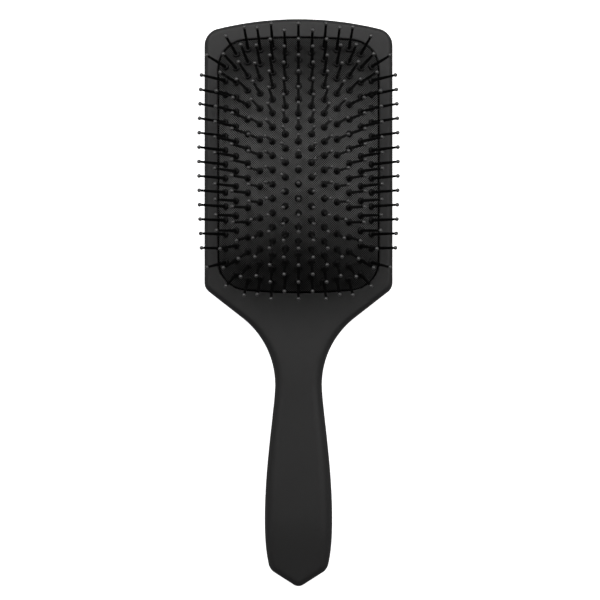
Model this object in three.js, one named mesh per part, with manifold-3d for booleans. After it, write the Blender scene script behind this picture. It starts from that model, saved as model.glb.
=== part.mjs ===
// A paddle hairbrush: a two-piece moulded body, a domed rubber cushion held by a frame, and ball-tipped pins.
// Millimetres. +X is across the head, +Y points from the handle to the head, and the pins point along +Z.
// The brush lies on its back. The origin is on that surface, under the middle of the body's outline.

import * as THREE from "three";
import { mergeVertices } from "three/addons/utils/BufferGeometryUtils.js";
import Module from "manifold-3d";

const wasm = await Module();
wasm.setup();

const DEGREE = Math.PI / 180;

// The body's outline, seen from the front.
const LENGTH = 250;
const HEAD_HALF_WIDTH = 41.5;
const CROWN_RADIUS = 150; // the arched far end of the head
const CROWN_CORNER_RADIUS = 7.6;
const SHOULDER_Y = 6.3; // where the straight side would meet the sloping shoulder
const SHOULDER_RADIUS = 5.3;
const SHOULDER_ANGLE = 52 * DEGREE; // between the shoulder and the long axis
const NECK_Y = -36.3;
const NECK_HALF_WIDTH = 10.35;
const NECK_RADIUS = 37.5; // the hollow curve from shoulder to neck
const GRIP_Y = -95;
const GRIP_HALF_WIDTH = 14.9;
const NECK_TO_GRIP_PULLS = [9, 24]; // how far the side runs straight at the neck and at the grip
const GRIP_TO_END_PULLS = [7, 7];
const END_CORNER = new THREE.Vector2(12.7, -117.8);
const END_CORNER_RADIUS = 6;
const END_SIDE_ANGLE = 12 * DEGREE; // how far the side leans in as it comes to the end corner
const TIP_RADIUS = 4;

// The body's thickness: [y, height of the front face, height of the back face], from the head to the tip.
const THICKNESS = [
  [5, 13, 0],
  [NECK_Y, 14, 1.1],
  [GRIP_Y, 15.4, 0],
  [-LENGTH / 2, 13.2, 1.6],
];
// How far the rounding of the edge reaches in from the outline: [y, on the front, on the back].
const EDGE_ROUNDING = [
  [0, 2.6, 5],
  [NECK_Y, 5, 7],
  [GRIP_Y, 6, 9],
  [-LENGTH / 2, 3.6, 3.6],
];
const EDGE_SQUARENESS = 2.3; // exponent of the edge's superellipse: 2 is an ellipse
const EDGE_STEPS = { outside: 4, inside: 2 };
const SPINE = { top: LENGTH / 2 - HEAD_HALF_WIDTH, bottom: -109 };

const WALL = 2.2;
const FRONT_FACE = THICKNESS[0][1];
const PARTING = 7; // height of the plane where the two shells meet
const GAP = 0.3; // between pieces that touch on the real brush

// The cushion, seen from the front: a rounded rectangle with arched ends, on a centre of its own.
const CUSHION = { y: 60.3, halfWidth: 35.1, halfLength: 55.9, corner: 12.5, endRadius: 250 };
const CUSHION_ARCS = cushionArcs();
const SEAM = 0.25; // half the width of the seam between cushion and body
const DOME_HEIGHT = 12;
const DOME_BULGE = 0.72; // the share of the height that is a broad bulge; the rest is the steeper edge
const DOME_ROUNDNESS = 0.6; // how far the bulge's contours turn from the outline to an ellipse
const DOME_EDGE_POWER = 5;
const DOME_SHARES = [0, 0.235, 0.39, 0.54, 0.68, 0.81, 0.94, 1]; // its contours, as shares of the outline
const FINE_SHARE = 0.9;
const RUBBER = 1.4;
const FLANGE = { reach: 2.6, thickness: 1.2 };
const FLANGE_TOP = FRONT_FACE - WALL - GAP;
const VENT = { y: CUSHION.y - 21, radius: 0.7 };

const FRAME = { inner: -1.3, outer: 2.4, height: 2.2 };
const FRAME_TOP = FLANGE_TOP - FLANGE.thickness - GAP;

// The pins stand on the cushion in columns along the brush, evenly spaced over the rubber's curve.
const PIN = { length: 18.5, root: 0.8, neck: 0.5, ball: 0.85, sides: 4 };
const COLUMN_PITCH = 5.6;
const COLUMNS = [
  { count: 18, pitch: 6.13 },
  { count: 17, pitch: 6.17 },
  { count: 18, pitch: 6.13 },
  { count: 16, pitch: 6.74 },
  { count: 17, pitch: 6.36 },
  { count: 16, pitch: 6.44 },
  { count: 15, pitch: 6.09 },
];
const STRIPS_PER_COLUMN = 4;
const STRIP = { halfWidth: 1, thickness: 1.4, depth: 2 * GAP, overhang: 1.2, margin: 0.15 };
const HOLE = { radius: 1.3, length: 60, below: 4 }; // below: how far under the rubber its cutter starts

// Inside the shells.
const POST = { radius: 1.8, top: FRAME_TOP - FRAME.height - GAP };
const POST_PLACES = [[36, 30], [36, 0], [36, -30], [17, 56.6], [17, -56.6]]; // from the cushion's centre
const PEG = { radius: 1.4, bottom: 2.8, socket: 3 };
const PEG_PLACES = [[17, -6], [-17, -6], [0, -52], [0, -108]];
const RIB_PLACES = [-36, -66, -80, -94];
const RIB_THICKNESS = 1.2;

// ---------------------------------------------------------------- solids

function solidFrom(geometry) {
  const bare = geometry.index ? geometry.toNonIndexed() : geometry.clone();
  bare.deleteAttribute("normal");
  bare.deleteAttribute("uv");
  const merged = mergeVertices(bare, 1e-4);
  const corners = merged.index.array;
  const kept = [];
  for (let i = 0; i < corners.length; i += 3) {
    const [a, b, c] = corners.slice(i, i + 3);
    if (a !== b && b !== c && c !== a) kept.push(a, b, c);
  }
  return new wasm.Manifold(
    new wasm.Mesh({
      numProp: 3,
      vertProperties: merged.attributes.position.array,
      triVerts: new Uint32Array(kept),
    }),
  );
}

function geometryFrom(solid) {
  const { vertProperties, triVerts } = solid.getMesh();
  const geometry = new THREE.BufferGeometry();
  geometry.setAttribute("position", new THREE.BufferAttribute(vertProperties, 3));
  geometry.setIndex(new THREE.BufferAttribute(triVerts, 1));
  const flat = geometry.toNonIndexed();
  flat.computeVertexNormals();
  return flat;
}

// A closed solid through rings of equal length. Rings shrunk to a line or a point close it, unless it loops.
function loft(rings, loops = false) {
  const positions = [];
  const last = loops ? rings.length : rings.length - 1;
  for (let r = 0; r < last; r++) {
    const here = rings[r];
    const next = rings[(r + 1) % rings.length];
    here.forEach((a, i) => {
      const b = here[(i + 1) % here.length];
      const c = next[(i + 1) % here.length];
      const d = next[i];
      for (const corner of [a, b, c, a, c, d]) positions.push(corner.x, corner.y, corner.z);
    });
  }
  const geometry = new THREE.BufferGeometry();
  geometry.setAttribute("position", new THREE.Float32BufferAttribute(positions, 3));
  const solid = solidFrom(geometry);
  if (solid.volume() > 0) return solid;
  return loft(rings.map((ring) => [...ring].reverse()), loops);
}

// A ring drawn in to its middle, which closes a loft's end.
function cap(ring) {
  const middle = ring.reduce((sum, corner) => sum.add(corner), new THREE.Vector3());
  return ring.map(() => middle.clone().divideScalar(ring.length));
}

function union(solids) {
  return solids.reduce((all, solid) => all.add(solid));
}

// An upright round bar between two heights.
function bar(x, y, radius, bottom, top, sides = 8) {
  const geometry = new THREE.CylinderGeometry(radius, radius, top - bottom, sides);
  geometry.rotateX(90 * DEGREE);
  geometry.translate(x, y, (bottom + top) / 2);
  return solidFrom(geometry);
}

// ---------------------------------------------------------------- outlines

// Points of a circular arc, each with the outward normal of the outline there.
function arc(cx, cy, radius, from, to, steps, inward = false) {
  return Array.from({ length: steps + 1 }, (_, i) => {
    const angle = from + ((to - from) * i) / steps;
    const normal = new THREE.Vector2(Math.cos(angle), Math.sin(angle));
    const point = new THREE.Vector2(cx, cy).addScaledVector(normal, radius);
    return { point, normal: inward ? normal.negate() : normal };
  });
}

// Points of a side curve between two points, with how far it follows the direction at each end.
function sideCurve(start, startAngle, end, endAngle, pulls, steps) {
  const along = (angle) => new THREE.Vector2(-Math.sin(angle), -Math.cos(angle));
  const curve = new THREE.CubicBezierCurve(
    start,
    start.clone().addScaledVector(along(startAngle), pulls[0]),
    end.clone().addScaledVector(along(endAngle), -pulls[1]),
    end,
  );
  return Array.from({ length: steps - 1 }, (_, i) => {
    const t = (i + 1) / steps;
    const tangent = curve.getTangent(t);
    return { point: curve.getPoint(t), normal: new THREE.Vector2(-tangent.y, tangent.x) };
  });
}

// The outline's right half, from the crown's middle to the handle's tip.
function bodyOutlineRight() {
  const crownCentre = LENGTH / 2 - CROWN_RADIUS;
  const cornerX = HEAD_HALF_WIDTH - CROWN_CORNER_RADIUS;
  const cornerY = crownCentre + Math.sqrt((CROWN_RADIUS - CROWN_CORNER_RADIUS) ** 2 - cornerX ** 2);
  const cornerStart = Math.atan2(cornerY - crownCentre, cornerX);
  const shoulderY = SHOULDER_Y + SHOULDER_RADIUS * Math.tan(SHOULDER_ANGLE / 2);
  const neck = new THREE.Vector2(NECK_HALF_WIDTH, NECK_Y);
  const grip = new THREE.Vector2(GRIP_HALF_WIDTH, GRIP_Y);
  const tipY = -LENGTH / 2 + TIP_RADIUS;
  const endAngle = Math.PI - Math.atan2(END_CORNER.x, tipY - TIP_RADIUS - END_CORNER.y);
  const endTurn = endAngle - END_SIDE_ANGLE;
  const back = END_CORNER_RADIUS * Math.tan(endTurn / 2);
  const endStart = new THREE.Vector2(
    END_CORNER.x + back * Math.sin(END_SIDE_ANGLE),
    END_CORNER.y + back * Math.cos(END_SIDE_ANGLE),
  );
  const endCentre = new THREE.Vector2(
    endStart.x - END_CORNER_RADIUS * Math.cos(END_SIDE_ANGLE),
    endStart.y + END_CORNER_RADIUS * Math.sin(END_SIDE_ANGLE),
  );
  return [
    ...arc(0, crownCentre, CROWN_RADIUS, 90 * DEGREE, cornerStart, 4),
    ...arc(cornerX, cornerY, CROWN_CORNER_RADIUS, cornerStart, 0, 4).slice(1),
    { point: new THREE.Vector2(HEAD_HALF_WIDTH, (cornerY + shoulderY) / 2), normal: new THREE.Vector2(1, 0) },
    ...arc(HEAD_HALF_WIDTH - SHOULDER_RADIUS, shoulderY, SHOULDER_RADIUS, 0, -SHOULDER_ANGLE, 3),
    ...arc(neck.x + NECK_RADIUS, NECK_Y, NECK_RADIUS, Math.PI - SHOULDER_ANGLE, Math.PI, 6, true),
    ...sideCurve(neck, 0, grip, 0, NECK_TO_GRIP_PULLS, 6),
    { point: grip, normal: new THREE.Vector2(1, 0) },
    ...sideCurve(grip, 0, endStart, END_SIDE_ANGLE, GRIP_TO_END_PULLS, 3),
    ...arc(endCentre.x, endCentre.y, END_CORNER_RADIUS, -END_SIDE_ANGLE, -endAngle, 3),
    ...arc(0, tipY, TIP_RADIUS, -endAngle, -90 * DEGREE, 2),
  ];
}

// A closed outline from its right half, whose first and last points lie on the centre line.
function mirrored(right) {
  const left = right
    .slice(1, -1)
    .reverse()
    .map(({ point, normal }) => ({
      point: new THREE.Vector2(-point.x, point.y),
      normal: new THREE.Vector2(-normal.x, normal.y),
    }));
  return [...right, ...left];
}

// The cushion's outline about its own centre.
function cushionOutline() {
  const { end, corner, cornerStart } = CUSHION_ARCS;
  const upper = [
    ...arc(0, end.y, end.radius, 90 * DEGREE, cornerStart, 2),
    ...arc(corner.x, corner.y, corner.radius, cornerStart, 0, 4).slice(1),
    { point: new THREE.Vector2(CUSHION.halfWidth, corner.y / 2), normal: new THREE.Vector2(1, 0) },
  ];
  const lower = [...upper].reverse().map(({ point, normal }) => ({
    point: new THREE.Vector2(point.x, -point.y),
    normal: new THREE.Vector2(normal.x, -normal.y),
  }));
  const middle = { point: new THREE.Vector2(CUSHION.halfWidth, 0), normal: new THREE.Vector2(1, 0) };
  return mirrored([...upper, middle, ...lower]);
}

// The circles that the cushion's outline follows in its first quarter, and the angle at which they meet.
function cushionArcs() {
  const { halfWidth, halfLength, corner, endRadius } = CUSHION;
  const endY = halfLength - endRadius;
  const cornerX = halfWidth - corner;
  const cornerY = endY + Math.sqrt((endRadius - corner) ** 2 - cornerX ** 2);
  return {
    end: { x: 0, y: endY, radius: endRadius },
    corner: { x: cornerX, y: cornerY, radius: corner },
    cornerStart: Math.atan2(cornerY - endY, cornerX),
  };
}

// ---------------------------------------------------------------- body

// A value that eases between the rows of a table whose first column falls.
function eased(table, column, y) {
  const after = table.findIndex((row) => row[0] < y);
  if (after === 0) return table[0][column];
  if (after < 0) return table.at(-1)[column];
  const above = table[after - 1];
  const below = table[after];
  const t = (above[0] - y) / (above[0] - below[0]);
  return above[column] + (below[column] - above[column]) * t * t * (3 - 2 * t);
}

// The whole body as one solid, drawn in by a distance all over.
function bodySolid(inset, steps) {
  const outline = mirrored(bodyOutlineRight());
  const power = 2 / EDGE_SQUARENESS;
  const side = (column, outwards) => {
    const rings = [];
    for (let step = 0; step <= steps; step++) {
      const angle = (90 * DEGREE * step) / steps;
      const across = 1 - Math.cos(angle) ** power;
      const up = Math.sin(angle) ** power;
      rings.push(
        outline.map(({ point, normal }) => {
          const reach = (eased(EDGE_ROUNDING, column, point.y) - inset) * across + inset;
          const place = point.clone().addScaledVector(normal, -reach);
          const face = eased(THICKNESS, column, place.y) - outwards * inset;
          return new THREE.Vector3(place.x, place.y, PARTING + (face - PARTING) * up);
        }),
      );
    }
    const spine = outline.map(({ point }) => {
      const y = THREE.MathUtils.clamp(point.y, SPINE.bottom, SPINE.top);
      return new THREE.Vector3(0, y, eased(THICKNESS, column, y) - outwards * inset);
    });
    return [...rings, spine];
  };
  const front = side(1, 1);
  const back = side(2, -1);
  return loft([...front.reverse(), ...back.slice(1)]);
}

function cushionOpening() {
  const loop = (z) =>
    cushionOutline().map(({ point, normal }) => {
      const place = point.clone().addScaledVector(normal, SEAM);
      return new THREE.Vector3(place.x, place.y + CUSHION.y, z);
    });
  const centre = (z) => loop(z).map(() => new THREE.Vector3(0, CUSHION.y, z));
  const bottom = PARTING + 1;
  const top = FRONT_FACE + 1;
  return loft([centre(bottom), loop(bottom), loop(top), centre(top)]);
}

function frontShell(outer, inner) {
  const pegs = PEG_PLACES.map(([x, y]) => bar(x, y, PEG.radius, PEG.bottom, eased(THICKNESS, 1, y) - 1));
  const shell = outer.subtract(inner).trimByPlane([0, 0, 1], PARTING + GAP / 2);
  return union([shell.subtract(cushionOpening()), ...pegs]);
}

function backShell(outer, inner) {
  const shell = outer.subtract(inner).trimByPlane([0, 0, -1], -(PARTING - GAP / 2));
  const floor = WALL / 2;
  const posts = POST_PLACES.flatMap(([x, y]) =>
    [-1, 1].map((side) => bar(side * x, CUSHION.y + y, POST.radius, floor, POST.top)),
  );
  const sockets = PEG_PLACES.map(([x, y]) => bar(x, y, PEG.socket, floor, POST.top));
  const ribs = RIB_PLACES.map((y) => {
    const geometry = new THREE.BoxGeometry(2 * GRIP_HALF_WIDTH, RIB_THICKNESS, POST.top);
    geometry.translate(0, y, POST.top / 2);
    return solidFrom(geometry).intersect(outer);
  });
  const bores = PEG_PLACES.map(([x, y]) =>
    bar(x, y, PEG.radius + GAP, PEG.bottom - GAP, PARTING),
  );
  return union([shell, ...posts, ...sockets, ...ribs]).subtract(union(bores));
}

// ---------------------------------------------------------------- cushion

// How far out a point is, as a share of the way from the cushion's centre to its outline.
function outlineShare(x, y) {
  const { end, corner, cornerStart } = CUSHION_ARCS;
  const point = new THREE.Vector2(Math.abs(x), Math.abs(y));
  if (point.y * CUSHION.halfWidth <= point.x * corner.y) return point.x / CUSHION.halfWidth;
  const join = Math.atan2(
    corner.y + corner.radius * Math.sin(cornerStart),
    corner.x + corner.radius * Math.cos(cornerStart),
  );
  const circle = point.angle() > join ? end : corner;
  const centre = new THREE.Vector2(circle.x, circle.y);
  const dot = point.dot(centre);
  const power = centre.lengthSq() - circle.radius ** 2;
  return (dot - Math.sqrt(dot ** 2 - power * point.lengthSq())) / power;
}

// Height of the rubber's outer surface at a place measured from the cushion's centre.
function domeHeight(x, y) {
  const share = outlineShare(x, y);
  const ellipse = (x / CUSHION.halfWidth) ** 2 + (y / CUSHION.halfLength) ** 2;
  const bulge = (1 - share ** 2) * (1 - DOME_ROUNDNESS * (ellipse - share ** 2));
  const edge = 1 - share ** DOME_EDGE_POWER;
  return FRONT_FACE + DOME_HEIGHT * (DOME_BULGE * bulge + (1 - DOME_BULGE) * edge);
}

function domeNormal(x, y) {
  const step = 0.01;
  const slopeX = (domeHeight(x + step, y) - domeHeight(x - step, y)) / (2 * step);
  const slopeY = (domeHeight(x, y + step) - domeHeight(x, y - step)) / (2 * step);
  return new THREE.Vector3(-slopeX, -slopeY, 1).normalize();
}

function cushionRing(offset, z) {
  return cushionOutline().map(({ point, normal }) => {
    const place = point.clone().addScaledVector(normal, offset);
    return new THREE.Vector3(place.x, place.y + CUSHION.y, z);
  });
}

// A contour of the dome. Away from the rim it keeps every second point of the outline.
function domeRing(share, offset, depth) {
  const outline = cushionOutline();
  return outline.map((_, i) => {
    const kept = share < FINE_SHARE ? 2 * Math.round(i / 2) : i;
    const { point, normal } = outline[kept % outline.length];
    const place = point.clone().addScaledVector(normal, offset).multiplyScalar(share);
    return new THREE.Vector3(place.x, place.y + CUSHION.y, domeHeight(place.x, place.y) - depth);
  });
}

function cushionSkin() {
  const shares = [...DOME_SHARES];
  const flangeBottom = FLANGE_TOP - FLANGE.thickness;
  const skirtInside = -SEAM - RUBBER;
  return loft([
    ...shares.map((share) => domeRing(share, -SEAM, 0)),
    cushionRing(-SEAM, FLANGE_TOP),
    cushionRing(FLANGE.reach, FLANGE_TOP),
    cushionRing(FLANGE.reach, flangeBottom),
    cushionRing(skirtInside, flangeBottom),
    ...shares.reverse().map((share) => domeRing(share, skirtInside, RUBBER)),
  ]);
}

function cushion(pins) {
  const holes = pins.map(holeCutter);
  const vent = bar(0, VENT.y, VENT.radius, FRONT_FACE, FRONT_FACE + 2 * DOME_HEIGHT);
  return cushionSkin().subtract(union([...holes, vent]));
}

function cushionFrame() {
  const bottom = FRAME_TOP - FRAME.height;
  return loft(
    [
      cushionRing(FRAME.inner, FRAME_TOP),
      cushionRing(FRAME.outer, FRAME_TOP),
      cushionRing(FRAME.outer, bottom),
      cushionRing(FRAME.inner, bottom),
    ],
    true,
  );
}

// ---------------------------------------------------------------- pins

// How far out a walk of this length over the rubber comes, with the rubber's slope at each distance out.
function walkOver(length, slopeAt) {
  const step = 0.05;
  let out = 0;
  for (let walked = 0; walked < length; walked += step) out += step / Math.hypot(1, slopeAt(out));
  return out;
}

function slopeAcross(x) {
  return (domeHeight(x + 0.01, 0) - domeHeight(x, 0)) / 0.01;
}

// The pins of one column, from the handle end to the crown: where each meets the rubber, and its direction.
function columnPins(index) {
  const { count, pitch } = COLUMNS[Math.abs(index)];
  const x = Math.sign(index) * walkOver(Math.abs(index) * COLUMN_PITCH, slopeAcross);
  const slopeAlong = (y) => (domeHeight(x, y + 0.01) - domeHeight(x, y)) / 0.01;
  return Array.from({ length: count }, (_, i) => {
    const walk = (i - (count - 1) / 2) * pitch;
    const y = Math.sign(walk) * walkOver(Math.abs(walk), slopeAlong);
    return {
      foot: new THREE.Vector3(x, y + CUSHION.y, domeHeight(x, y)),
      direction: domeNormal(x, y),
    };
  });
}

function standOn(geometry, { foot, direction }) {
  geometry.rotateX(90 * DEGREE);
  geometry.applyQuaternion(
    new THREE.Quaternion().setFromUnitVectors(new THREE.Vector3(0, 0, 1), direction),
  );
  geometry.translate(foot.x, foot.y, foot.z);
  return solidFrom(geometry);
}

// The cutter for a pin's hole in the rubber: a long, slim pyramid around the pin.
function holeCutter(pin) {
  const geometry = new THREE.ConeGeometry(HOLE.radius, HOLE.length, PIN.sides);
  geometry.translate(0, HOLE.length / 2 - HOLE.below, 0);
  return standOn(geometry, pin);
}

function pinSolid(pin, bottom) {
  const ballCentre = PIN.length - PIN.ball;
  const profile = [
    [0, bottom],
    [PIN.root, bottom],
    [PIN.neck, ballCentre - PIN.ball],
    [PIN.ball, ballCentre],
    [0, PIN.length],
  ].map(([radius, height]) => new THREE.Vector2(radius, height));
  return standOn(new THREE.LatheGeometry(profile, PIN.sides), pin);
}

// Pins on the narrow strip that joins their heads under the rubber.
function pinStrip(pins) {
  const top = -RUBBER - STRIP.depth;
  const bottom = top - STRIP.thickness;
  const along = new THREE.Vector3(0, 1, 0);
  const section = ({ foot, direction }, slide) => {
    const forward = along.clone().addScaledVector(direction, -direction.y).normalize();
    const across = forward.clone().cross(direction).normalize();
    const corner = (side, depth) =>
      foot
        .clone()
        .addScaledVector(forward, slide)
        .addScaledVector(across, side * STRIP.halfWidth)
        .addScaledVector(direction, depth);
    return [corner(-1, top), corner(1, top), corner(1, bottom), corner(-1, bottom)];
  };
  const start = section(pins[0], -STRIP.overhang);
  const end = section(pins.at(-1), STRIP.overhang);
  const strip = loft([cap(start), start, end, cap(end)]);
  return union([strip, ...pins.map((pin) => pinSolid(pin, bottom + STRIP.margin))]);
}

function columnName(index) {
  if (index === 0) return "pins_centre";
  return `pins_${index < 0 ? "left" : "right"}_${Math.abs(index)}`;
}

// ---------------------------------------------------------------- assembly

const blackBody = new THREE.MeshStandardMaterial({ color: 0x2b2a2a, roughness: 0.62, metalness: 0 });
const greyFrame = new THREE.MeshStandardMaterial({ color: 0x3a3a3a, roughness: 0.5, metalness: 0 });
const blackRubber = new THREE.MeshStandardMaterial({ color: 0x2e2e2e, roughness: 0.8, metalness: 0 });
const blackNylon = new THREE.MeshStandardMaterial({ color: 0x0b0b0b, roughness: 0.25, metalness: 0 });

const brush = new THREE.Group();

function addPart(name, solid, material) {
  const mesh = new THREE.Mesh(geometryFrom(solid), material);
  mesh.name = name;
  brush.add(mesh);
}

const outer = bodySolid(0, EDGE_STEPS.outside);
const inner = bodySolid(WALL, EDGE_STEPS.inside);
const columnIndexes = Array.from({ length: 2 * COLUMNS.length - 1 }, (_, i) => i - COLUMNS.length + 1);
const columns = columnIndexes.map((index) => ({ name: columnName(index), pins: columnPins(index) }));

addPart("front_shell", frontShell(outer, inner), blackBody);
addPart("back_shell", backShell(outer, inner), blackBody);
addPart("cushion_frame", cushionFrame(), greyFrame);
addPart("cushion", cushion(columns.flatMap(({ pins }) => pins)), blackRubber);
for (const { name, pins } of columns) {
  for (let part = 0; part < STRIPS_PER_COLUMN; part++) {
    const cut = (share) => Math.round((pins.length * share) / STRIPS_PER_COLUMN);
    const strip = pinStrip(pins.slice(cut(part), cut(part + 1)));
    addPart(`${name}_strip_${part + 1}`, strip, blackNylon);
  }
}

export default brush;
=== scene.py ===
"""A black paddle hairbrush: soft-touch body shells, a textured rubber cushion and glossy ball-tipped pins.

Metres, in the CAD's frame: +X across the head, +Y from the handle to the head, +Z the way the pins point.
"""

import math

import bmesh
import bpy
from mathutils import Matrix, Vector

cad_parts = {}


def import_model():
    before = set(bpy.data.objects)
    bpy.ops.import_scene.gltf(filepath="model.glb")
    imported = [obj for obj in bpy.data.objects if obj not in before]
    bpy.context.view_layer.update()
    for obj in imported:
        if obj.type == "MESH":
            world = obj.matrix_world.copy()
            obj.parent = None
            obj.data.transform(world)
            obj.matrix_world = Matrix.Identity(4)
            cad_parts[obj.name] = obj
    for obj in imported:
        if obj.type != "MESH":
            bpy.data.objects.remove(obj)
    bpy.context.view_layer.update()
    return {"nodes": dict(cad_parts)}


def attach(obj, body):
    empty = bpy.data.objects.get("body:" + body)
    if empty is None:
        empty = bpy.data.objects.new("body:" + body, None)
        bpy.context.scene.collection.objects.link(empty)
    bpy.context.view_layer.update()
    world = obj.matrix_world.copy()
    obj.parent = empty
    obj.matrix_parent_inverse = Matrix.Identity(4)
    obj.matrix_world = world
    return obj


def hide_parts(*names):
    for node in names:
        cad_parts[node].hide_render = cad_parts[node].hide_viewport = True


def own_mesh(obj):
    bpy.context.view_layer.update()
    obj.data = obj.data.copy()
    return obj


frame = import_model()

MM = 0.001
DEGREE = math.pi / 180

# The body's outline, in millimetres, as in the CAD.
LENGTH = 250
HEAD_HALF_WIDTH = 41.5
CROWN_RADIUS = 150
CROWN_CORNER_RADIUS = 7.6
SHOULDER_Y = 6.3  # where the straight side would meet the sloping shoulder
SHOULDER_RADIUS = 5.3
SHOULDER_ANGLE = 52 * DEGREE  # between the shoulder and the long axis
SHOULDER_TOP = SHOULDER_Y + SHOULDER_RADIUS * math.tan(SHOULDER_ANGLE / 2)  # where the straight side ends
NECK = (10.35, -36.3)
NECK_RADIUS = 37.5  # the hollow curve from shoulder to neck
GRIP = (14.9, -95)
NECK_TO_GRIP_PULLS = (9, 24)  # how far the side runs straight at the neck and at the grip
GRIP_TO_END_PULLS = (7, 7)
END_CORNER = (12.7, -117.8)
END_CORNER_RADIUS = 6
END_SIDE_ANGLE = 12 * DEGREE  # how far the side leans in as it comes to the end corner
TIP_RADIUS = 4

# How many steps each stretch of the body's outline takes.
CROWN_STEPS = 16
CROWN_CORNER_STEPS = 12
SIDE_STEPS = 24
SHOULDER_STEPS = 8
SLOPE_STEPS = 6
NECK_STEPS = 22
GRIP_STEPS = 24
END_SIDE_STEPS = 10
END_CORNER_STEPS = 10
POINT_STEPS = 8
TIP_STEPS = 6

# The body's thickness: (y, height of the front face, height of the back face), from the head to the tip.
THICKNESS = ((5, 13, 0), (NECK[1], 14, 1.1), (GRIP[1], 15.4, 0), (-LENGTH / 2, 13.2, 1.6))
# How far the rounding of its edge reaches in from the outline: (y, on the front, on the back).
EDGE_ROUNDING = ((0, 2.6, 5), (NECK[1], 5, 7), (GRIP[1], 6, 9), (-LENGTH / 2, 3.6, 3.6))
FRONT = 1  # the front's column in both tables
BACK = 2
EDGE_SQUARENESS = 2.3  # exponent of the edge's superellipse: 2 is an ellipse
EDGE_STEPS = 12
FACE_STEPS = 8
SPINE_TOP = LENGTH / 2 - HEAD_HALF_WIDTH
SPINE_BOTTOM = -109
WALL = 2.2
FRONT_FACE = THICKNESS[0][FRONT]
PARTING = 7  # height of the plane where the two shells meet
GAP = 0.3  # between pieces that touch on the real brush

# The cushion: a rounded rectangle with arched ends, on a centre of its own.
CUSHION_Y = 60.3
CUSHION_HALF_WIDTH = 35.1
CUSHION_HALF_LENGTH = 55.9
CUSHION_CORNER = 12.5
CUSHION_END_RADIUS = 250
CUSHION_END_STEPS = 10
CUSHION_CORNER_STEPS = 14
CUSHION_SIDE_STEPS = 16
SEAM = 0.25  # from the cushion's outline out to the opening's edge
RIM_GAP = 0.45  # from the cushion's outline in to the rubber's rim
DOME_HEIGHT = 12
DOME_BULGE = 0.72  # the share of the height that is a broad bulge; the rest is the steeper edge
DOME_ROUNDNESS = 0.6  # how far the bulge's contours turn from the outline to an ellipse
DOME_EDGE_POWER = 5
DOME_STEPS = 34
DOME_CROWDING = 1.4  # above 1, the dome's rings lie closer together towards its rim
RUBBER = 1.4
FLANGE_REACH = 2.6
FLANGE_TOP = FRONT_FACE - WALL - GAP
FLANGE_THICKNESS = 1.2
SKIRT_HEIGHTS = (FRONT_FACE - 0.2, FRONT_FACE - 0.6, FLANGE_TOP + 0.3)  # rings down the rubber's side
RIM_LIP = 0.5  # rounding of the opening's edge
LIP_STEPS = 5
OPENING_SPLIT_Y = -12  # below this the front face closes on the handle's middle line

# The pins.
PIN_LENGTH = 18.5
PIN_ROOT = 0.8
PIN_NECK = 0.5
PIN_BALL = 0.85
PIN_HEAD = ((0, -2.9), (1.2, -2.9), (1.4, -2.7), (1.4, -2.1), (1.2, -1.9))  # radius, height
PIN_STEM_BOTTOM = -1.75  # where the stem rises from the head
PIN_STEM_POWER = 0.85  # below 1, the stem narrows more near its foot
PIN_STEM_STEPS = 8
PIN_STEM_END = PIN_LENGTH - 2.15 * PIN_BALL  # a short neck leads on from here to the ball
BALL_STEPS = 8
PIN_SIDES = 16
COLUMN_PITCH = 5.6
# How many pins each column has, and how far apart they are, from the middle column outwards.
COLUMNS = ((18, 6.13), (17, 6.17), (18, 6.13), (16, 6.74), (17, 6.36), (16, 6.44), (15, 6.09))
COLUMN_INDEXES = range(-len(COLUMNS) + 1, len(COLUMNS))  # from left to right; 0 is the middle column
SEAT_RADIUS = 1.5
SEAT_HEIGHT = 0.95
SEAT_DEPTH = 1
SEAT_ROUNDING = 0.6
SEAT_STEPS = 6
SEAT_SIDES = 20

# How finely things are worked out.
SLACK = 1e-4  # for telling whether a point has reached a side or a corner
SLOPE_STEP = 0.01
WALK_STEP = 0.05
MERGE_DISTANCE = 1e-7  # in metres

# The looks: colours are linear, sizes are in millimetres.
BODY_DARK = (0.020, 0.0197, 0.0197)
BODY_LIGHT = (0.030, 0.0293, 0.0293)
NYLON_DARK = (0.002, 0.002, 0.002)
NYLON_LIGHT = (0.005, 0.005, 0.005)
# Painted reflection: the tips are the stems' black nylon, painted greyer to stand in for the lights'
# reflection on the balls.
TIP_PAINTED_DARK = (0.025, 0.025, 0.025)
TIP_PAINTED_LIGHT = (0.05, 0.05, 0.049)
RUBBER_DARK = (0.001, 0.001, 0.001)
RUBBER_LIGHT = (0.38, 0.38, 0.376)
FRAME_DARK = (0.03, 0.03, 0.03)
FRAME_LIGHT = (0.05, 0.05, 0.05)
WEAVE_PITCH = 0.69  # from one row of the weave to the next
# Painted shade: the rubber's whole tone darkens towards the cushion's ends, where its slopes fall away from
# the light.
END_SHADE_REACH = (14, 44)  # painted shade: how far towards the cushion's ends its tone starts to darken, and is darkest
END_SHADE_SHARE = 0.75  # how much of its tone it has lost there

# The floor, in millimetres: (radius, height) from its middle to the top of the wall that it curves up into.
FLOOR_PROFILE = ((0, 0), (1000, 0), (3000, 0), (3600, 150), (4000, 600), (4200, 1500), (4300, 3000))
FLOOR_DROP = 0.5  # how far it lies under the brush
FLOOR_SIDES = 48
FLOOR_DARK = (0.9, 0.9, 0.9)
FLOOR_LIGHT = (0.94, 0.94, 0.94)
FLOOR_GLOW = 1.0

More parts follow.
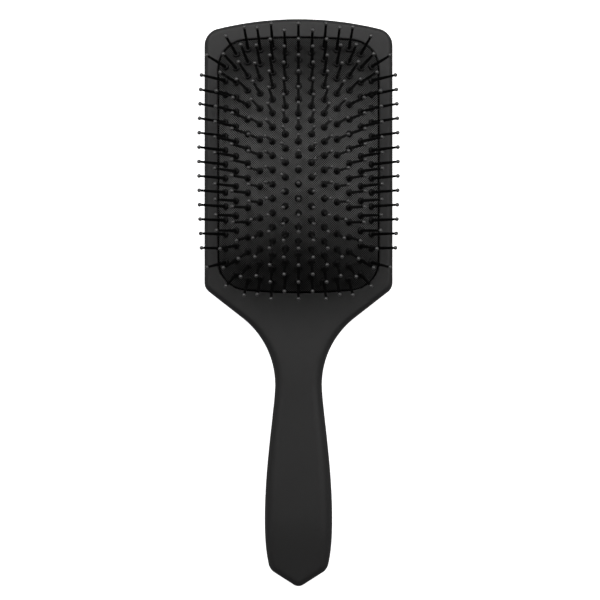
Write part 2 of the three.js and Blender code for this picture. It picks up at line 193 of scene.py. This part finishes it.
# The lights and the camera, in metres and watts.
TOP_LIGHT = 0.05
SIDE_LIGHT = 0.18
SIDE_LIGHT_HEIGHTS = (0.1, 0.7)  # sines of the elevations where the side light starts to fade, and is gone
LIGHTS = (  # name, place, size, power
    ("overhead", (0, 0.25, 1.2), (0.5, 0.4), 0.2),
    ("right", (0.55, 0.3, 0.65), (0.5, 0.5), 2.3),
    ("upper_left", (-0.45, 0.4, 0.6), (0.5, 0.4), 2.2),
    ("top", (0, 0.3, 0.35), (0.5, 0.2), 0.7),
)
LIGHT_AIM = (0, 0.04, 0)
SENSOR_MM = 36
CAMERA_DISTANCE = 0.68
CAMERA_X = 0.66 * MM
CAMERA_Y = 1.17 * MM
CAMERA_REACH = 20
VIEW_WIDTH = 265.1 * MM  # across the picture, at the height of the parting line


# ---------------------------------------------------------------- outlines: lists of (point, outward normal)


def arc(centre, radius, start, end, steps, inward=False):
    places = []
    for i in range(steps + 1):
        angle = start + (end - start) * i / steps
        normal = Vector((math.cos(angle), math.sin(angle)))
        point = Vector(centre) + normal * radius
        places.append((point, -normal if inward else normal))
    return places


def side_curve(start, start_angle, end, end_angle, pulls, steps):
    """Inner places of a curve down the side that leaves and arrives at these angles from straight down."""
    a = Vector(start)
    d = Vector(end)
    b = a + Vector((-math.sin(start_angle), -math.cos(start_angle))) * pulls[0]
    c = d - Vector((-math.sin(end_angle), -math.cos(end_angle))) * pulls[1]
    places = []
    for i in range(1, steps):
        t = i / steps
        s = 1 - t
        point = a * s**3 + b * 3 * s * s * t + c * 3 * s * t * t + d * t**3
        heading = ((b - a) * s * s + (c - b) * 2 * s * t + (d - c) * t * t).normalized()
        places.append((point, Vector((-heading.y, heading.x))))
    return places


def straight(start, end, steps):
    """Inner places of a straight side."""
    a = Vector(start)
    b = Vector(end)
    heading = (b - a).normalized()
    normal = Vector((-heading.y, heading.x))
    return [(a.lerp(b, i / steps), normal) for i in range(1, steps)]


def body_outline_right():
    """From the crown's middle, down the right side, to the handle's tip."""
    crown = (0, LENGTH / 2 - CROWN_RADIUS)
    corner_x = HEAD_HALF_WIDTH - CROWN_CORNER_RADIUS
    corner_y = crown[1] + math.sqrt((CROWN_RADIUS - CROWN_CORNER_RADIUS) ** 2 - corner_x**2)
    corner_start = math.atan2(corner_y - crown[1], corner_x)
    shoulder = (HEAD_HALF_WIDTH - SHOULDER_RADIUS, SHOULDER_TOP)
    shoulder_arc = arc(shoulder, SHOULDER_RADIUS, 0, -SHOULDER_ANGLE, SHOULDER_STEPS)
    neck = (NECK[0] + NECK_RADIUS, NECK[1])
    neck_arc = arc(neck, NECK_RADIUS, math.pi - SHOULDER_ANGLE, math.pi, NECK_STEPS, inward=True)
    tip = (0, -LENGTH / 2 + TIP_RADIUS)
    end_angle = math.pi - math.atan2(END_CORNER[0], tip[1] - TIP_RADIUS - END_CORNER[1])
    back = END_CORNER_RADIUS * math.tan((end_angle - END_SIDE_ANGLE) / 2)
    end_start = (
        END_CORNER[0] + back * math.sin(END_SIDE_ANGLE),
        END_CORNER[1] + back * math.cos(END_SIDE_ANGLE),
    )
    end_centre = (
        end_start[0] - END_CORNER_RADIUS * math.cos(END_SIDE_ANGLE),
        end_start[1] + END_CORNER_RADIUS * math.sin(END_SIDE_ANGLE),
    )
    end_arc = arc(end_centre, END_CORNER_RADIUS, -END_SIDE_ANGLE, -end_angle, END_CORNER_STEPS)
    tip_arc = arc(tip, TIP_RADIUS, -end_angle, -90 * DEGREE, TIP_STEPS)
    return [
        *arc(crown, CROWN_RADIUS, 90 * DEGREE, corner_start, CROWN_STEPS),
        *arc((corner_x, corner_y), CROWN_CORNER_RADIUS, corner_start, 0, CROWN_CORNER_STEPS)[1:],
        *straight((HEAD_HALF_WIDTH, corner_y), (HEAD_HALF_WIDTH, shoulder[1]), SIDE_STEPS),
        *shoulder_arc,
        *straight(shoulder_arc[-1][0], neck_arc[0][0], SLOPE_STEPS),
        *neck_arc,
        *side_curve(NECK, 0, GRIP, 0, NECK_TO_GRIP_PULLS, GRIP_STEPS),
        (Vector(GRIP), Vector((1, 0))),
        *side_curve(GRIP, 0, end_start, END_SIDE_ANGLE, GRIP_TO_END_PULLS, END_SIDE_STEPS),
        *end_arc,
        *straight(end_arc[-1][0], tip_arc[0][0], POINT_STEPS),
        *tip_arc,
    ]


def mirrored(right):
    """A closed outline from a right half that starts and ends on the centre line."""
    left = [(Vector((-p.x, p.y)), Vector((-n.x, n.y))) for p, n in reversed(right[1:-1])]
    return right + left


CUSHION_CORNER_X = CUSHION_HALF_WIDTH - CUSHION_CORNER
CUSHION_END_Y = CUSHION_HALF_LENGTH - CUSHION_END_RADIUS
CUSHION_CORNER_Y = CUSHION_END_Y + math.sqrt((CUSHION_END_RADIUS - CUSHION_CORNER) ** 2 - CUSHION_CORNER_X**2)
CUSHION_JOIN = math.atan2(CUSHION_CORNER_Y - CUSHION_END_Y, CUSHION_CORNER_X)
CUSHION_JOIN_BEARING = math.atan2(  # where the end's arc meets the corner's, seen from the cushion's centre
    CUSHION_CORNER_Y + CUSHION_CORNER * math.sin(CUSHION_JOIN),
    CUSHION_CORNER_X + CUSHION_CORNER * math.cos(CUSHION_JOIN),
)


def cushion_outline():
    """The cushion's outline about its own centre, from the middle of its far end."""
    corner = (CUSHION_CORNER_X, CUSHION_CORNER_Y)
    upper = [
        *arc((0, CUSHION_END_Y), CUSHION_END_RADIUS, 90 * DEGREE, CUSHION_JOIN, CUSHION_END_STEPS),
        *arc(corner, CUSHION_CORNER, CUSHION_JOIN, 0, CUSHION_CORNER_STEPS)[1:],
        *straight((CUSHION_HALF_WIDTH, CUSHION_CORNER_Y), (CUSHION_HALF_WIDTH, 0), CUSHION_SIDE_STEPS),
    ]
    lower = [(Vector((p.x, -p.y)), Vector((n.x, -n.y))) for p, n in reversed(upper)]
    middle = (Vector((CUSHION_HALF_WIDTH, 0)), Vector((1, 0)))
    return mirrored([*upper, middle, *lower])


# ---------------------------------------------------------------- meshes


def new_object(name, bm):
    """A smooth-shaded object made from bm, which is freed."""
    mesh = bpy.data.meshes.new(name)
    bm.to_mesh(mesh)
    bm.free()
    for polygon in mesh.polygons:
        polygon.use_smooth = True
    piece = bpy.data.objects.new(name, mesh)
    bpy.context.scene.collection.objects.link(piece)
    return piece


def add_rings(bm, rings):
    """Adds a skin through rings of points in millimetres, all with the same number of points."""
    grid = [[bm.verts.new(Vector(p) * MM) for p in ring] for ring in rings]
    for here, following in zip(grid, grid[1:]):
        for i in range(len(here)):
            j = (i + 1) % len(here)
            bm.faces.new((here[i], here[j], following[j], following[i]))


def loft(rings):
    bm = bmesh.new()
    add_rings(bm, rings)
    return bm


def close_up(bm):
    """Joins points in the same place, which closes a skin where its rings shrink to a line or a point."""
    bmesh.ops.remove_doubles(bm, verts=bm.verts, dist=MERGE_DISTANCE)
    bmesh.ops.dissolve_degenerate(bm, dist=MERGE_DISTANCE, edges=bm.edges)
    bmesh.ops.recalc_face_normals(bm, faces=bm.faces)
    return bm


# ---------------------------------------------------------------- body shells


def eased(table, column, y):
    """A value that eases between the rows of a table whose first column falls."""
    if y >= table[0][0]:
        return table[0][column]
    for above, below in zip(table, table[1:]):
        if y >= below[0]:
            t = (above[0] - y) / (above[0] - below[0])
            return above[column] + (below[column] - above[column]) * t * t * (3 - 2 * t)
    return table[-1][column]


def face_height(column, inset, y):
    """The height of the front or back face, or of the wall's inner side at this inset."""
    outwards = 1 if column == FRONT else -1
    return eased(THICKNESS, column, y) - outwards * inset


def edge_rings(outline, column, inset, parting):
    """From the parting plane round the edge to the flat of the face."""
    power = 2 / EDGE_SQUARENESS
    rings = []
    for step in range(EDGE_STEPS + 1):
        angle = 90 * DEGREE * step / EDGE_STEPS
        across = 1 - math.cos(angle) ** power if step < EDGE_STEPS else 1.0
        up = math.sin(angle) ** power
        ring = []
        for point, normal in outline:
            reach = (eased(EDGE_ROUNDING, column, point.y) - inset) * across + inset
            place = point - normal * reach
            face = face_height(column, inset, place.y)
            ring.append((place.x, place.y, parting + (face - parting) * up))
        rings.append(ring)
    return rings


def face_rings(edge, goals, column, inset):
    """From the flat's edge to the loop of goals, which has a point for each of the outline's."""
    rings = []
    for step in range(1, FACE_STEPS + 1):
        t = step / FACE_STEPS
        ring = []
        for start, goal in zip(edge, goals):
            x = start[0] + (goal[0] - start[0]) * t
            y = start[1] + (goal[1] - start[1]) * t
            ring.append((x, y, face_height(column, inset, y)))
        rings.append(ring)
    return rings


def spine_goals(outline):
    """Where each place of the outline is drawn to on the back: the brush's middle line."""
    return [(0, min(max(point.y, SPINE_BOTTOM), SPINE_TOP)) for point, _ in outline]


def back_shell():
    outline = mirrored(body_outline_right())
    parting = PARTING - GAP / 2
    outer = edge_rings(outline, BACK, 0, parting)
    inner = edge_rings(outline, BACK, WALL, parting)
    goals = spine_goals(outline)
    outer += face_rings(outer[-1], goals, BACK, 0)
    inner += face_rings(inner[-1], goals, BACK, WALL)
    return new_object("back_shell_skin", close_up(loft(outer[::-1] + inner)))


def along(places, distance):
    """(point, normal) at a distance along a list of places."""
    for (a, normal_a), (b, normal_b) in zip(places, places[1:]):
        step = (b - a).length
        if distance <= step:
            t = distance / step
            return a.lerp(b, t), normal_a.lerp(normal_b, t).normalized()
        distance -= step
    return places[-1]


def walked(places):
    """The distance walked to each of the places."""
    total = 0.0
    distances = [0.0]
    for (a, _), (b, _) in zip(places, places[1:]):
        total += (b - a).length
        distances.append(total)
    return distances


def first_right_of(places, x):
    return next(i for i, (point, _) in enumerate(places) if point.x > x)


def first_below(places, y):
    return next(i for i, (point, _) in enumerate(places) if point.y < y)


def opening_places(right):
    """For each place on the outline's right half above OPENING_SPLIT_Y, the place of the rim facing it."""
    rim = cushion_outline()
    rim = rim[: len(rim) // 2 + 1]
    body_marks = [
        0,
        first_right_of(right, HEAD_HALF_WIDTH - CROWN_CORNER_RADIUS),
        first_right_of(right, HEAD_HALF_WIDTH - SLACK),
        first_below(right, SHOULDER_TOP - SLACK),
        first_below(right, OPENING_SPLIT_Y),
    ]
    rim_marks = [
        0,
        first_right_of(rim, CUSHION_CORNER_X),
        first_right_of(rim, CUSHION_HALF_WIDTH - SLACK),
        first_below(rim, -CUSHION_CORNER_Y + SLACK),
        len(rim) - 1,
    ]
    body_walk = walked(right)
    rim_walk = walked(rim)
    places = []
    for a, b, c, d in zip(body_marks, body_marks[1:], rim_marks, rim_marks[1:]):
        for i in range(a, b):
            t = (body_walk[i] - body_walk[a]) / (body_walk[b] - body_walk[a])
            places.append(along(rim, rim_walk[c] + (rim_walk[d] - rim_walk[c]) * t))
    return [*places, rim[-1]]


def opening_ring(places, offset, z):
    """The whole rim as a loop, drawn outwards by an offset."""
    return [(p.x + n.x * offset, p.y + n.y * offset + CUSHION_Y, z) for p, n in mirrored(places)]


def front_goals(right, places, offset):
    """Where each place of the outline is drawn to: the opening's rim, or the middle line of the handle."""
    head = [point + normal * offset + Vector((0, CUSHION_Y)) for point, normal in places]
    split = len(places) - 1
    top = head[-1].y
    split_y = right[split][0].y
    goals = [(p.x, p.y) for p in head]
    for point, _ in right[split + 1 :]:
        t = (split_y - point.y) / (split_y + LENGTH / 2)
        goals.append((0, top + (SPINE_BOTTOM - top) * t))
    goals[0] = (0, goals[0][1])
    goals[split] = (0, top)
    return goals + [(-x, y) for x, y in reversed(goals[1:-1])]


def front_shell():
    right = body_outline_right()
    outline = mirrored(right)
    parting = PARTING + GAP / 2
    places = opening_places(right)
    outer = edge_rings(outline, FRONT, 0, parting)
    inner = edge_rings(outline, FRONT, WALL, parting)
    outer += face_rings(outer[-1], front_goals(right, places, SEAM + RIM_LIP), FRONT, 0)
    inner += face_rings(inner[-1], front_goals(right, places, SEAM), FRONT, WALL)
    lip = []
    for step in range(LIP_STEPS + 1):
        angle = 90 * DEGREE * step / LIP_STEPS
        offset = SEAM + RIM_LIP * (1 - math.sin(angle))
        lip.append(opening_ring(places, offset, FRONT_FACE - RIM_LIP * (1 - math.cos(angle))))
    lip.append(opening_ring(places, SEAM, FRONT_FACE - WALL))
    bm = loft(outer[::-1] + inner)
    add_rings(bm, lip)
    return new_object("front_shell_skin", close_up(bm))


# ---------------------------------------------------------------- cushion


def outline_share(x, y):
    """How far out a point is, as a share of the way from the cushion's centre to its outline."""
    x = abs(x)
    y = abs(y)
    if y * CUSHION_HALF_WIDTH <= x * CUSHION_CORNER_Y:
        return x / CUSHION_HALF_WIDTH
    if math.atan2(y, x) > CUSHION_JOIN_BEARING:
        centre_x, centre_y, radius = 0, CUSHION_END_Y, CUSHION_END_RADIUS
    else:
        centre_x, centre_y, radius = CUSHION_CORNER_X, CUSHION_CORNER_Y, CUSHION_CORNER
    dot = x * centre_x + y * centre_y
    power = centre_x**2 + centre_y**2 - radius**2
    return (dot - math.sqrt(dot * dot - power * (x * x + y * y))) / power


def dome_height(x, y):
    """The height of the rubber's surface over a point that is measured from the cushion's centre."""
    share = outline_share(x, y)
    ellipse = (x / CUSHION_HALF_WIDTH) ** 2 + (y / CUSHION_HALF_LENGTH) ** 2
    bulge = (1 - share**2) * (1 - DOME_ROUNDNESS * (ellipse - share**2))
    edge = 1 - share**DOME_EDGE_POWER
    return FRONT_FACE + DOME_HEIGHT * (DOME_BULGE * bulge + (1 - DOME_BULGE) * edge)


def dome_normal(x, y):
    slope_x = (dome_height(x + SLOPE_STEP, y) - dome_height(x - SLOPE_STEP, y)) / (2 * SLOPE_STEP)
    slope_y = (dome_height(x, y + SLOPE_STEP) - dome_height(x, y - SLOPE_STEP)) / (2 * SLOPE_STEP)
    return Vector((-slope_x, -slope_y, 1)).normalized()


def cushion_ring(offset, z):
    """The cushion's outline at one height, drawn outwards by an offset."""
    return [(p.x + n.x * offset, p.y + n.y * offset + CUSHION_Y, z) for p, n in cushion_outline()]


def dome_ring(share, offset, depth):
    """A contour of the dome, at a share of the way out and a depth under its surface."""
    ring = []
    for point, normal in cushion_outline():
        place = (point + normal * offset) * share
        ring.append((place.x, place.y + CUSHION_Y, dome_height(place.x, place.y) - depth))
    return ring


def cushion():
    """A domed skin of rubber, with a flange that reaches under the opening's edge."""
    shares = [1 - (1 - i / DOME_STEPS) ** DOME_CROWDING for i in range(DOME_STEPS + 1)]
    skirt = -RIM_GAP - RUBBER
    flange_bottom = FLANGE_TOP - FLANGE_THICKNESS
    rings = [dome_ring(share, -RIM_GAP, 0) for share in shares]
    rings += [cushion_ring(-RIM_GAP, z) for z in SKIRT_HEIGHTS]
    rings += [
        cushion_ring(-RIM_GAP, FLANGE_TOP),
        cushion_ring(FLANGE_REACH, FLANGE_TOP),
        cushion_ring(FLANGE_REACH, flange_bottom),
        cushion_ring(skirt, flange_bottom),
    ]
    rings += [dome_ring(share, skirt, RUBBER) for share in reversed(shares)]
    return new_object("cushion_rubber", close_up(loft(rings)))


# ---------------------------------------------------------------- pins


def walk_over(length, slope_at):
    """How far out a walk of this length over the rubber comes. slope_at gives the slope at a distance out."""
    out = 0.0
    walked_so_far = 0.0
    while walked_so_far < length:
        out += WALK_STEP / math.hypot(1, slope_at(out))
        walked_so_far += WALK_STEP
    return out


def column_pins(index):
    """The pins of one column from the handle end: (foot on the rubber, direction)."""
    count, pitch = COLUMNS[abs(index)]

    def slope_across(x):
        return (dome_height(x + SLOPE_STEP, 0) - dome_height(x, 0)) / SLOPE_STEP

    def slope_along(y):
        return (dome_height(x, y + SLOPE_STEP) - dome_height(x, y)) / SLOPE_STEP

    x = math.copysign(walk_over(abs(index) * COLUMN_PITCH, slope_across), index)
    pins = []
    for i in range(count):
        walk = (i - (count - 1) / 2) * pitch
        y = math.copysign(walk_over(abs(walk), slope_along), walk)
        pins.append((Vector((x, y + CUSHION_Y, dome_height(x, y))), dome_normal(x, y)))
    return pins


def lathe(bm, profile, foot, direction, sides, second_from=None):
    """Adds a closed turned solid to bm. The profile is (radius, height), from its bottom to its top.

    From the height second_from upwards its faces take the piece's second material.
    """
    turn = Vector((0, 0, 1)).rotation_difference(direction)
    rings = []
    for radius, height in profile:
        if radius == 0:
            rings.append([bm.verts.new((foot + turn @ Vector((0, 0, height))) * MM)])
            continue
        ring = []
        for i in range(sides):
            angle = 2 * math.pi * i / sides
            place = Vector((radius * math.cos(angle), radius * math.sin(angle), height))
            ring.append(bm.verts.new((foot + turn @ place) * MM))
        rings.append(ring)
    for (_, height), here, above in zip(profile, rings, rings[1:]):
        for i in range(sides):
            j = (i + 1) % sides
            if len(here) == 1:
                face = bm.faces.new((here[0], above[i], above[j]))
            elif len(above) == 1:
                face = bm.faces.new((here[i], here[j], above[0]))
            else:
                face = bm.faces.new((here[i], here[j], above[j], above[i]))
            face.material_index = int(second_from is not None and height >= second_from)


def pin_profile():
    """A head under the rubber, a stem that tapers, a short neck, and a ball."""
    ball_centre = PIN_LENGTH - PIN_BALL
    stem = [(PIN_ROOT, PIN_STEM_BOTTOM)]
    for i in range(PIN_STEM_STEPS + 1):
        t = i / PIN_STEM_STEPS
        stem.append((PIN_ROOT + (PIN_NECK - PIN_ROOT) * t**PIN_STEM_POWER, t * PIN_STEM_END))
    start = math.asin(PIN_NECK / PIN_BALL)
    ball = []
    for i in range(BALL_STEPS + 1):
        angle = start + (math.pi - start) * i / BALL_STEPS
        ball.append((PIN_BALL * math.sin(angle), ball_centre - PIN_BALL * math.cos(angle)))
    ball[-1] = (0, PIN_LENGTH)
    return [*PIN_HEAD, *stem, *ball]


def seat_profile():
    """The smooth boss that the rubber rises in round a pin."""
    top = []
    for i in range(SEAT_STEPS + 1):
        angle = 90 * DEGREE * i / SEAT_STEPS
        radius = SEAT_RADIUS - SEAT_ROUNDING * (1 - math.cos(angle))
        height = SEAT_HEIGHT - SEAT_ROUNDING * (1 - math.sin(angle))
        top.append((radius, height))
    return [(0, -SEAT_DEPTH), (SEAT_RADIUS, -SEAT_DEPTH), *top, (0, SEAT_HEIGHT)]


def column_name(index):
    if index == 0:
        return "centre"
    side = "left" if index < 0 else "right"
    return f"{side}_{abs(index)}"


def column_of_pins(index):
    """One piece for each column, because a column is what rocks."""
    bm = bmesh.new()
    for foot, direction in column_pins(index):
        lathe(bm, pin_profile(), foot, direction, PIN_SIDES, second_from=PIN_LENGTH - 2 * PIN_BALL)
    return new_object(f"ball_pins_{column_name(index)}", close_up(bm))


def pin_seats():
    """The bosses of all the pins. They are part of the rubber, so they are pressed with it."""
    bm = bmesh.new()
    for index in COLUMN_INDEXES:
        for foot, direction in column_pins(index):
            lathe(bm, seat_profile(), foot, direction, SEAT_SIDES)
    return new_object("pin_seats", close_up(bm))


# ---------------------------------------------------------------- materials


class Nodes:
    """A short way to write a material's nodes."""

    def __init__(self, name):
        self.material = bpy.data.materials.new(name)
        self.material.use_nodes = True
        self.tree = self.material.node_tree
        self.shader = self.tree.nodes["Principled BSDF"]
        self.place = self.tree.nodes.new("ShaderNodeTexCoord").outputs["Object"]

    def add(self, kind, values=None, links=None, **settings):
        node = self.tree.nodes.new(kind)
        for key, value in settings.items():
            setattr(node, key, value)
        for key, value in (values or {}).items():
            node.inputs[key].default_value = value
        for key, output in (links or {}).items():
            self.tree.links.new(output, node.inputs[key])
        return node

    def math(self, operation, a, b=None):
        node = self.add("ShaderNodeMath", operation=operation)
        for socket, value in zip(node.inputs, (a, b)):
            if isinstance(value, (int, float)):
                socket.default_value = value
            elif value is not None:
                self.tree.links.new(value, socket)
        return node.outputs[0]

    def noise(self, size, detail=2.0, roughness=0.5):
        """Noise with features about this many millimetres across."""
        values = {"Scale": 1 / (size * MM), "Detail": detail, "Roughness": roughness}
        return self.add("ShaderNodeTexNoise", values, {"Vector": self.place}).outputs["Fac"]

    def span(self, value, low, high, from_low=0.0, from_high=1.0):
        values = {"From Min": from_low, "From Max": from_high, "To Min": low, "To Max": high}
        return self.add("ShaderNodeMapRange", values, {"Value": value}).outputs["Result"]

    def blend(self, share, a, b):
        node = self.add("ShaderNodeMix", data_type="RGBA")
        node.inputs["A"].default_value = (*a, 1)
        node.inputs["B"].default_value = (*b, 1)
        self.tree.links.new(share, node.inputs["Factor"])
        return node.outputs["Result"]

    def link(self, output, socket):
        self.tree.links.new(output, self.shader.inputs[socket])

    def bump(self, height, depth, strength=1.0):
        """Relief of this depth in millimetres, where height goes from 0 to 1."""
        values = {"Strength": strength, "Distance": depth * MM}
        self.link(self.add("ShaderNodeBump", values, {"Height": height}).outputs["Normal"], "Normal")


def soft_touch():
    """The body's matte black coat: a fine grain, faint clouds and smudges."""
    n = Nodes("soft_touch_black")
    grain = n.noise(0.35, detail=3)
    cloud = n.noise(28, detail=2)
    smudge = n.noise(9, detail=4, roughness=0.6)
    tone = n.math("ADD", n.span(cloud, 0.0, 0.6), n.span(grain, 0.0, 0.4))
    n.link(n.blend(tone, BODY_DARK, BODY_LIGHT), "Base Color")
    n.link(n.span(n.math("ADD", grain, smudge), 0.5, 0.66, 0.6, 1.4), "Roughness")
    n.shader.inputs["Specular IOR Level"].default_value = 0.42
    n.shader.inputs["Sheen Weight"].default_value = 0.06
    n.shader.inputs["Sheen Roughness"].default_value = 0.2
    n.bump(grain, 0.03, 0.5)
    return n.material


def woven_rubber():
    """Black rubber with a fine relief of crossing diagonal rows, its tone darkened towards the cushion's ends
    as painted shade.
    """
    n = Nodes("textured_rubber")
    split = n.add("ShaderNodeSeparateXYZ", links={"Vector": n.place})
    x = split.outputs["X"]
    y = split.outputs["Y"]
    rate = 2 * math.pi / (WEAVE_PITCH * MM) / math.sqrt(2)
    rows = n.math("COSINE", n.math("MULTIPLY", n.math("ADD", x, y), rate))
    cross = n.math("COSINE", n.math("MULTIPLY", n.math("SUBTRACT", x, y), rate))
    dots = n.span(n.math("ADD", rows, cross), 0.0, 1.0, -2.0, 2.0)
    patch = n.noise(6, detail=3)
    fleck = n.noise(0.5, detail=2)
    wear = n.span(n.noise(14, detail=2), 0.35, 1.0, 0.35, 0.65)
    peaks = n.math("MULTIPLY", n.math("POWER", dots, 4.0), 1.25)
    relief = n.math("MULTIPLY", n.math("SUBTRACT", peaks, 0.2), wear)
    tone = n.math("ADD", n.math("ADD", relief, 0.2), n.span(patch, -0.08, 0.1))
    tone = n.math("ADD", tone, n.span(fleck, -0.06, 0.08))
    # Painted shade: the tone, weave and all, darkens towards the cushion's ends, where the slopes fall away
    # from the light.
    towards_end = n.math("ABSOLUTE", n.math("SUBTRACT", y, CUSHION_Y * MM))
    end_shade_mask = n.span(towards_end, 0.0, 1.0, END_SHADE_REACH[0] * MM, END_SHADE_REACH[1] * MM)
    tone = n.math("MULTIPLY", tone, n.math("SUBTRACT", 1.0, n.math("MULTIPLY", end_shade_mask, END_SHADE_SHARE)))
    n.link(n.blend(tone, RUBBER_DARK, RUBBER_LIGHT), "Base Color")
    n.link(n.math("ADD", n.span(fleck, 0.42, 0.56), n.math("MULTIPLY", end_shade_mask, 0.2)), "Roughness")
    n.shader.inputs["Specular IOR Level"].default_value = 0.06
    n.bump(n.math("ADD", dots, n.span(fleck, 0.0, 0.2)), 0.03, 0.5)
    return n.material


def plain_rubber():
    """The smooth black rubber of the seats."""
    n = Nodes("smooth_rubber")
    fleck = n.noise(0.6, detail=3)
    n.link(n.blend(fleck, NYLON_DARK, NYLON_LIGHT), "Base Color")
    n.link(n.span(fleck, 0.4, 0.6), "Roughness")
    n.shader.inputs["Specular IOR Level"].default_value = 0.25
    n.bump(fleck, 0.03, 0.4)
    return n.material


def glossy_nylon():
    """The pins' stems."""
    n = Nodes("glossy_nylon")
    streak = n.noise(2.5, detail=3)
    fine = n.noise(0.3, detail=2)
    n.link(n.blend(streak, NYLON_DARK, NYLON_LIGHT), "Base Color")
    n.link(n.span(n.math("ADD", streak, fine), 0.12, 0.22, 0.6, 1.4), "Roughness")
    n.shader.inputs["Specular IOR Level"].default_value = 0.3
    n.bump(fine, 0.01, 0.3)
    return n.material


def painted_gleam_tips():
    """The ball tips: satin-glossy black nylon with a clear highlight, their tone painted greyer than the
    stems' as painted reflection of the lights.
    """
    n = Nodes("ball_tips_satin_painted_gleam")
    scuff = n.noise(0.4, detail=3)
    # Painted reflection: a grey tone in place of the black nylon.
    n.link(n.blend(scuff, TIP_PAINTED_DARK, TIP_PAINTED_LIGHT), "Base Color")
    n.link(n.span(scuff, 0.24, 0.32), "Roughness")
    n.shader.inputs["Specular IOR Level"].default_value = 1.0
    n.bump(scuff, 0.01, 0.3)
    return n.material


def moulded_grey():
    """The cushion frame's plain moulded plastic."""
    n = Nodes("moulded_frame")
    grain = n.noise(0.5, detail=3)
    n.link(n.blend(grain, FRAME_DARK, FRAME_LIGHT), "Base Color")
    n.link(n.span(grain, 0.4, 0.55), "Roughness")
    n.bump(grain, 0.03, 0.5)
    return n.material


def pale_floor():
    n = Nodes("pale_floor")
    mottle = n.noise(60, detail=3)
    n.link(n.blend(mottle, FLOOR_DARK, FLOOR_LIGHT), "Base Color")
    n.shader.inputs["Roughness"].default_value = 0.9
    n.shader.inputs["Emission Color"].default_value = (1, 1, 1, 1)
    n.shader.inputs["Emission Strength"].default_value = FLOOR_GLOW
    return n.material


# ---------------------------------------------------------------- stage


def paint(piece, *materials):
    """Gives a piece these materials, in the order that its faces number them."""
    if piece.data.materials:  # clearing an empty list would still set every face back to the first material
        piece.data.materials.clear()
    for material in materials:
        piece.data.materials.append(material)


def floor():
    """A wide plain floor that curves up into a wall all round."""
    angles = [2 * math.pi * i / FLOOR_SIDES for i in range(FLOOR_SIDES)]
    rings = []
    for radius, height in FLOOR_PROFILE:
        rings.append([(radius * math.cos(angle), radius * math.sin(angle), height) for angle in angles])
    piece = new_object("floor", close_up(loft(rings)))
    piece.location.z = -FLOOR_DROP * MM
    paint(piece, pale_floor())
    piece.visible_diffuse = False
    piece.visible_glossy = False
    piece.visible_shadow = False


def camera():
    """Looks straight down, with the top of the picture towards +Y."""
    data = bpy.data.cameras.new("camera")
    data.sensor_width = SENSOR_MM
    data.lens = SENSOR_MM * CAMERA_DISTANCE / VIEW_WIDTH
    data.clip_end = CAMERA_REACH
    piece = bpy.data.objects.new("camera", data)
    piece.location = (CAMERA_X, CAMERA_Y, CAMERA_DISTANCE + PARTING * MM)
    bpy.context.scene.collection.objects.link(piece)
    bpy.context.scene.camera = piece


def area_light(name, place, size, power):
    data = bpy.data.lights.new(name, "AREA")
    data.shape = "RECTANGLE"
    data.size, data.size_y = size
    data.energy = power
    piece = bpy.data.objects.new(name, data)
    piece.location = place
    piece.rotation_euler = (Vector(LIGHT_AIM) - Vector(place)).to_track_quat("-Z", "Y").to_euler()
    bpy.context.scene.collection.objects.link(piece)


def world():
    """Dim light from all round, stronger from the sides than from above."""
    studio = bpy.data.worlds.new("studio")
    studio.use_nodes = True
    tree = studio.node_tree
    background = tree.nodes["Background"]
    background.inputs["Color"].default_value = (1, 1, 1, 1)
    split = tree.nodes.new("ShaderNodeSeparateXYZ")
    strength = tree.nodes.new("ShaderNodeMapRange")
    low, high = SIDE_LIGHT_HEIGHTS
    for name, value in (("From Min", low), ("From Max", high), ("To Min", SIDE_LIGHT), ("To Max", TOP_LIGHT)):
        strength.inputs[name].default_value = value
    tree.links.new(tree.nodes.new("ShaderNodeTexCoord").outputs["Generated"], split.inputs["Vector"])
    tree.links.new(split.outputs["Z"], strength.inputs["Value"])
    tree.links.new(strength.outputs["Result"], background.inputs["Strength"])
    bpy.context.scene.world = studio


world()
floor()
camera()
bpy.context.scene.view_settings.view_transform = "Standard"
for name, place, size, power in LIGHTS:
    area_light(name, place, size, power)

body_finish = soft_touch()
nylon = glossy_nylon()
tips = painted_gleam_tips()

front = front_shell()
back = back_shell()
pad = cushion()
seats = pin_seats()
for piece, node in ((front, "front_shell"), (back, "back_shell")):
    paint(piece, body_finish)
    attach(piece, "brush_body")
    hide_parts(node)

paint(pad, woven_rubber())
paint(seats, plain_rubber())
for piece in (pad, seats):
    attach(piece, "brush_body")
    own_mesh(piece)
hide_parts("cushion")

for index in COLUMN_INDEXES:
    pins = column_of_pins(index)
    body = f"pins_{column_name(index)}"
    paint(pins, nylon, tips)
    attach(pins, body)
    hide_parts(*(f"{body}_strip_{i}" for i in range(1, 5)))

paint(frame["nodes"]["cushion_frame"], moulded_grey())
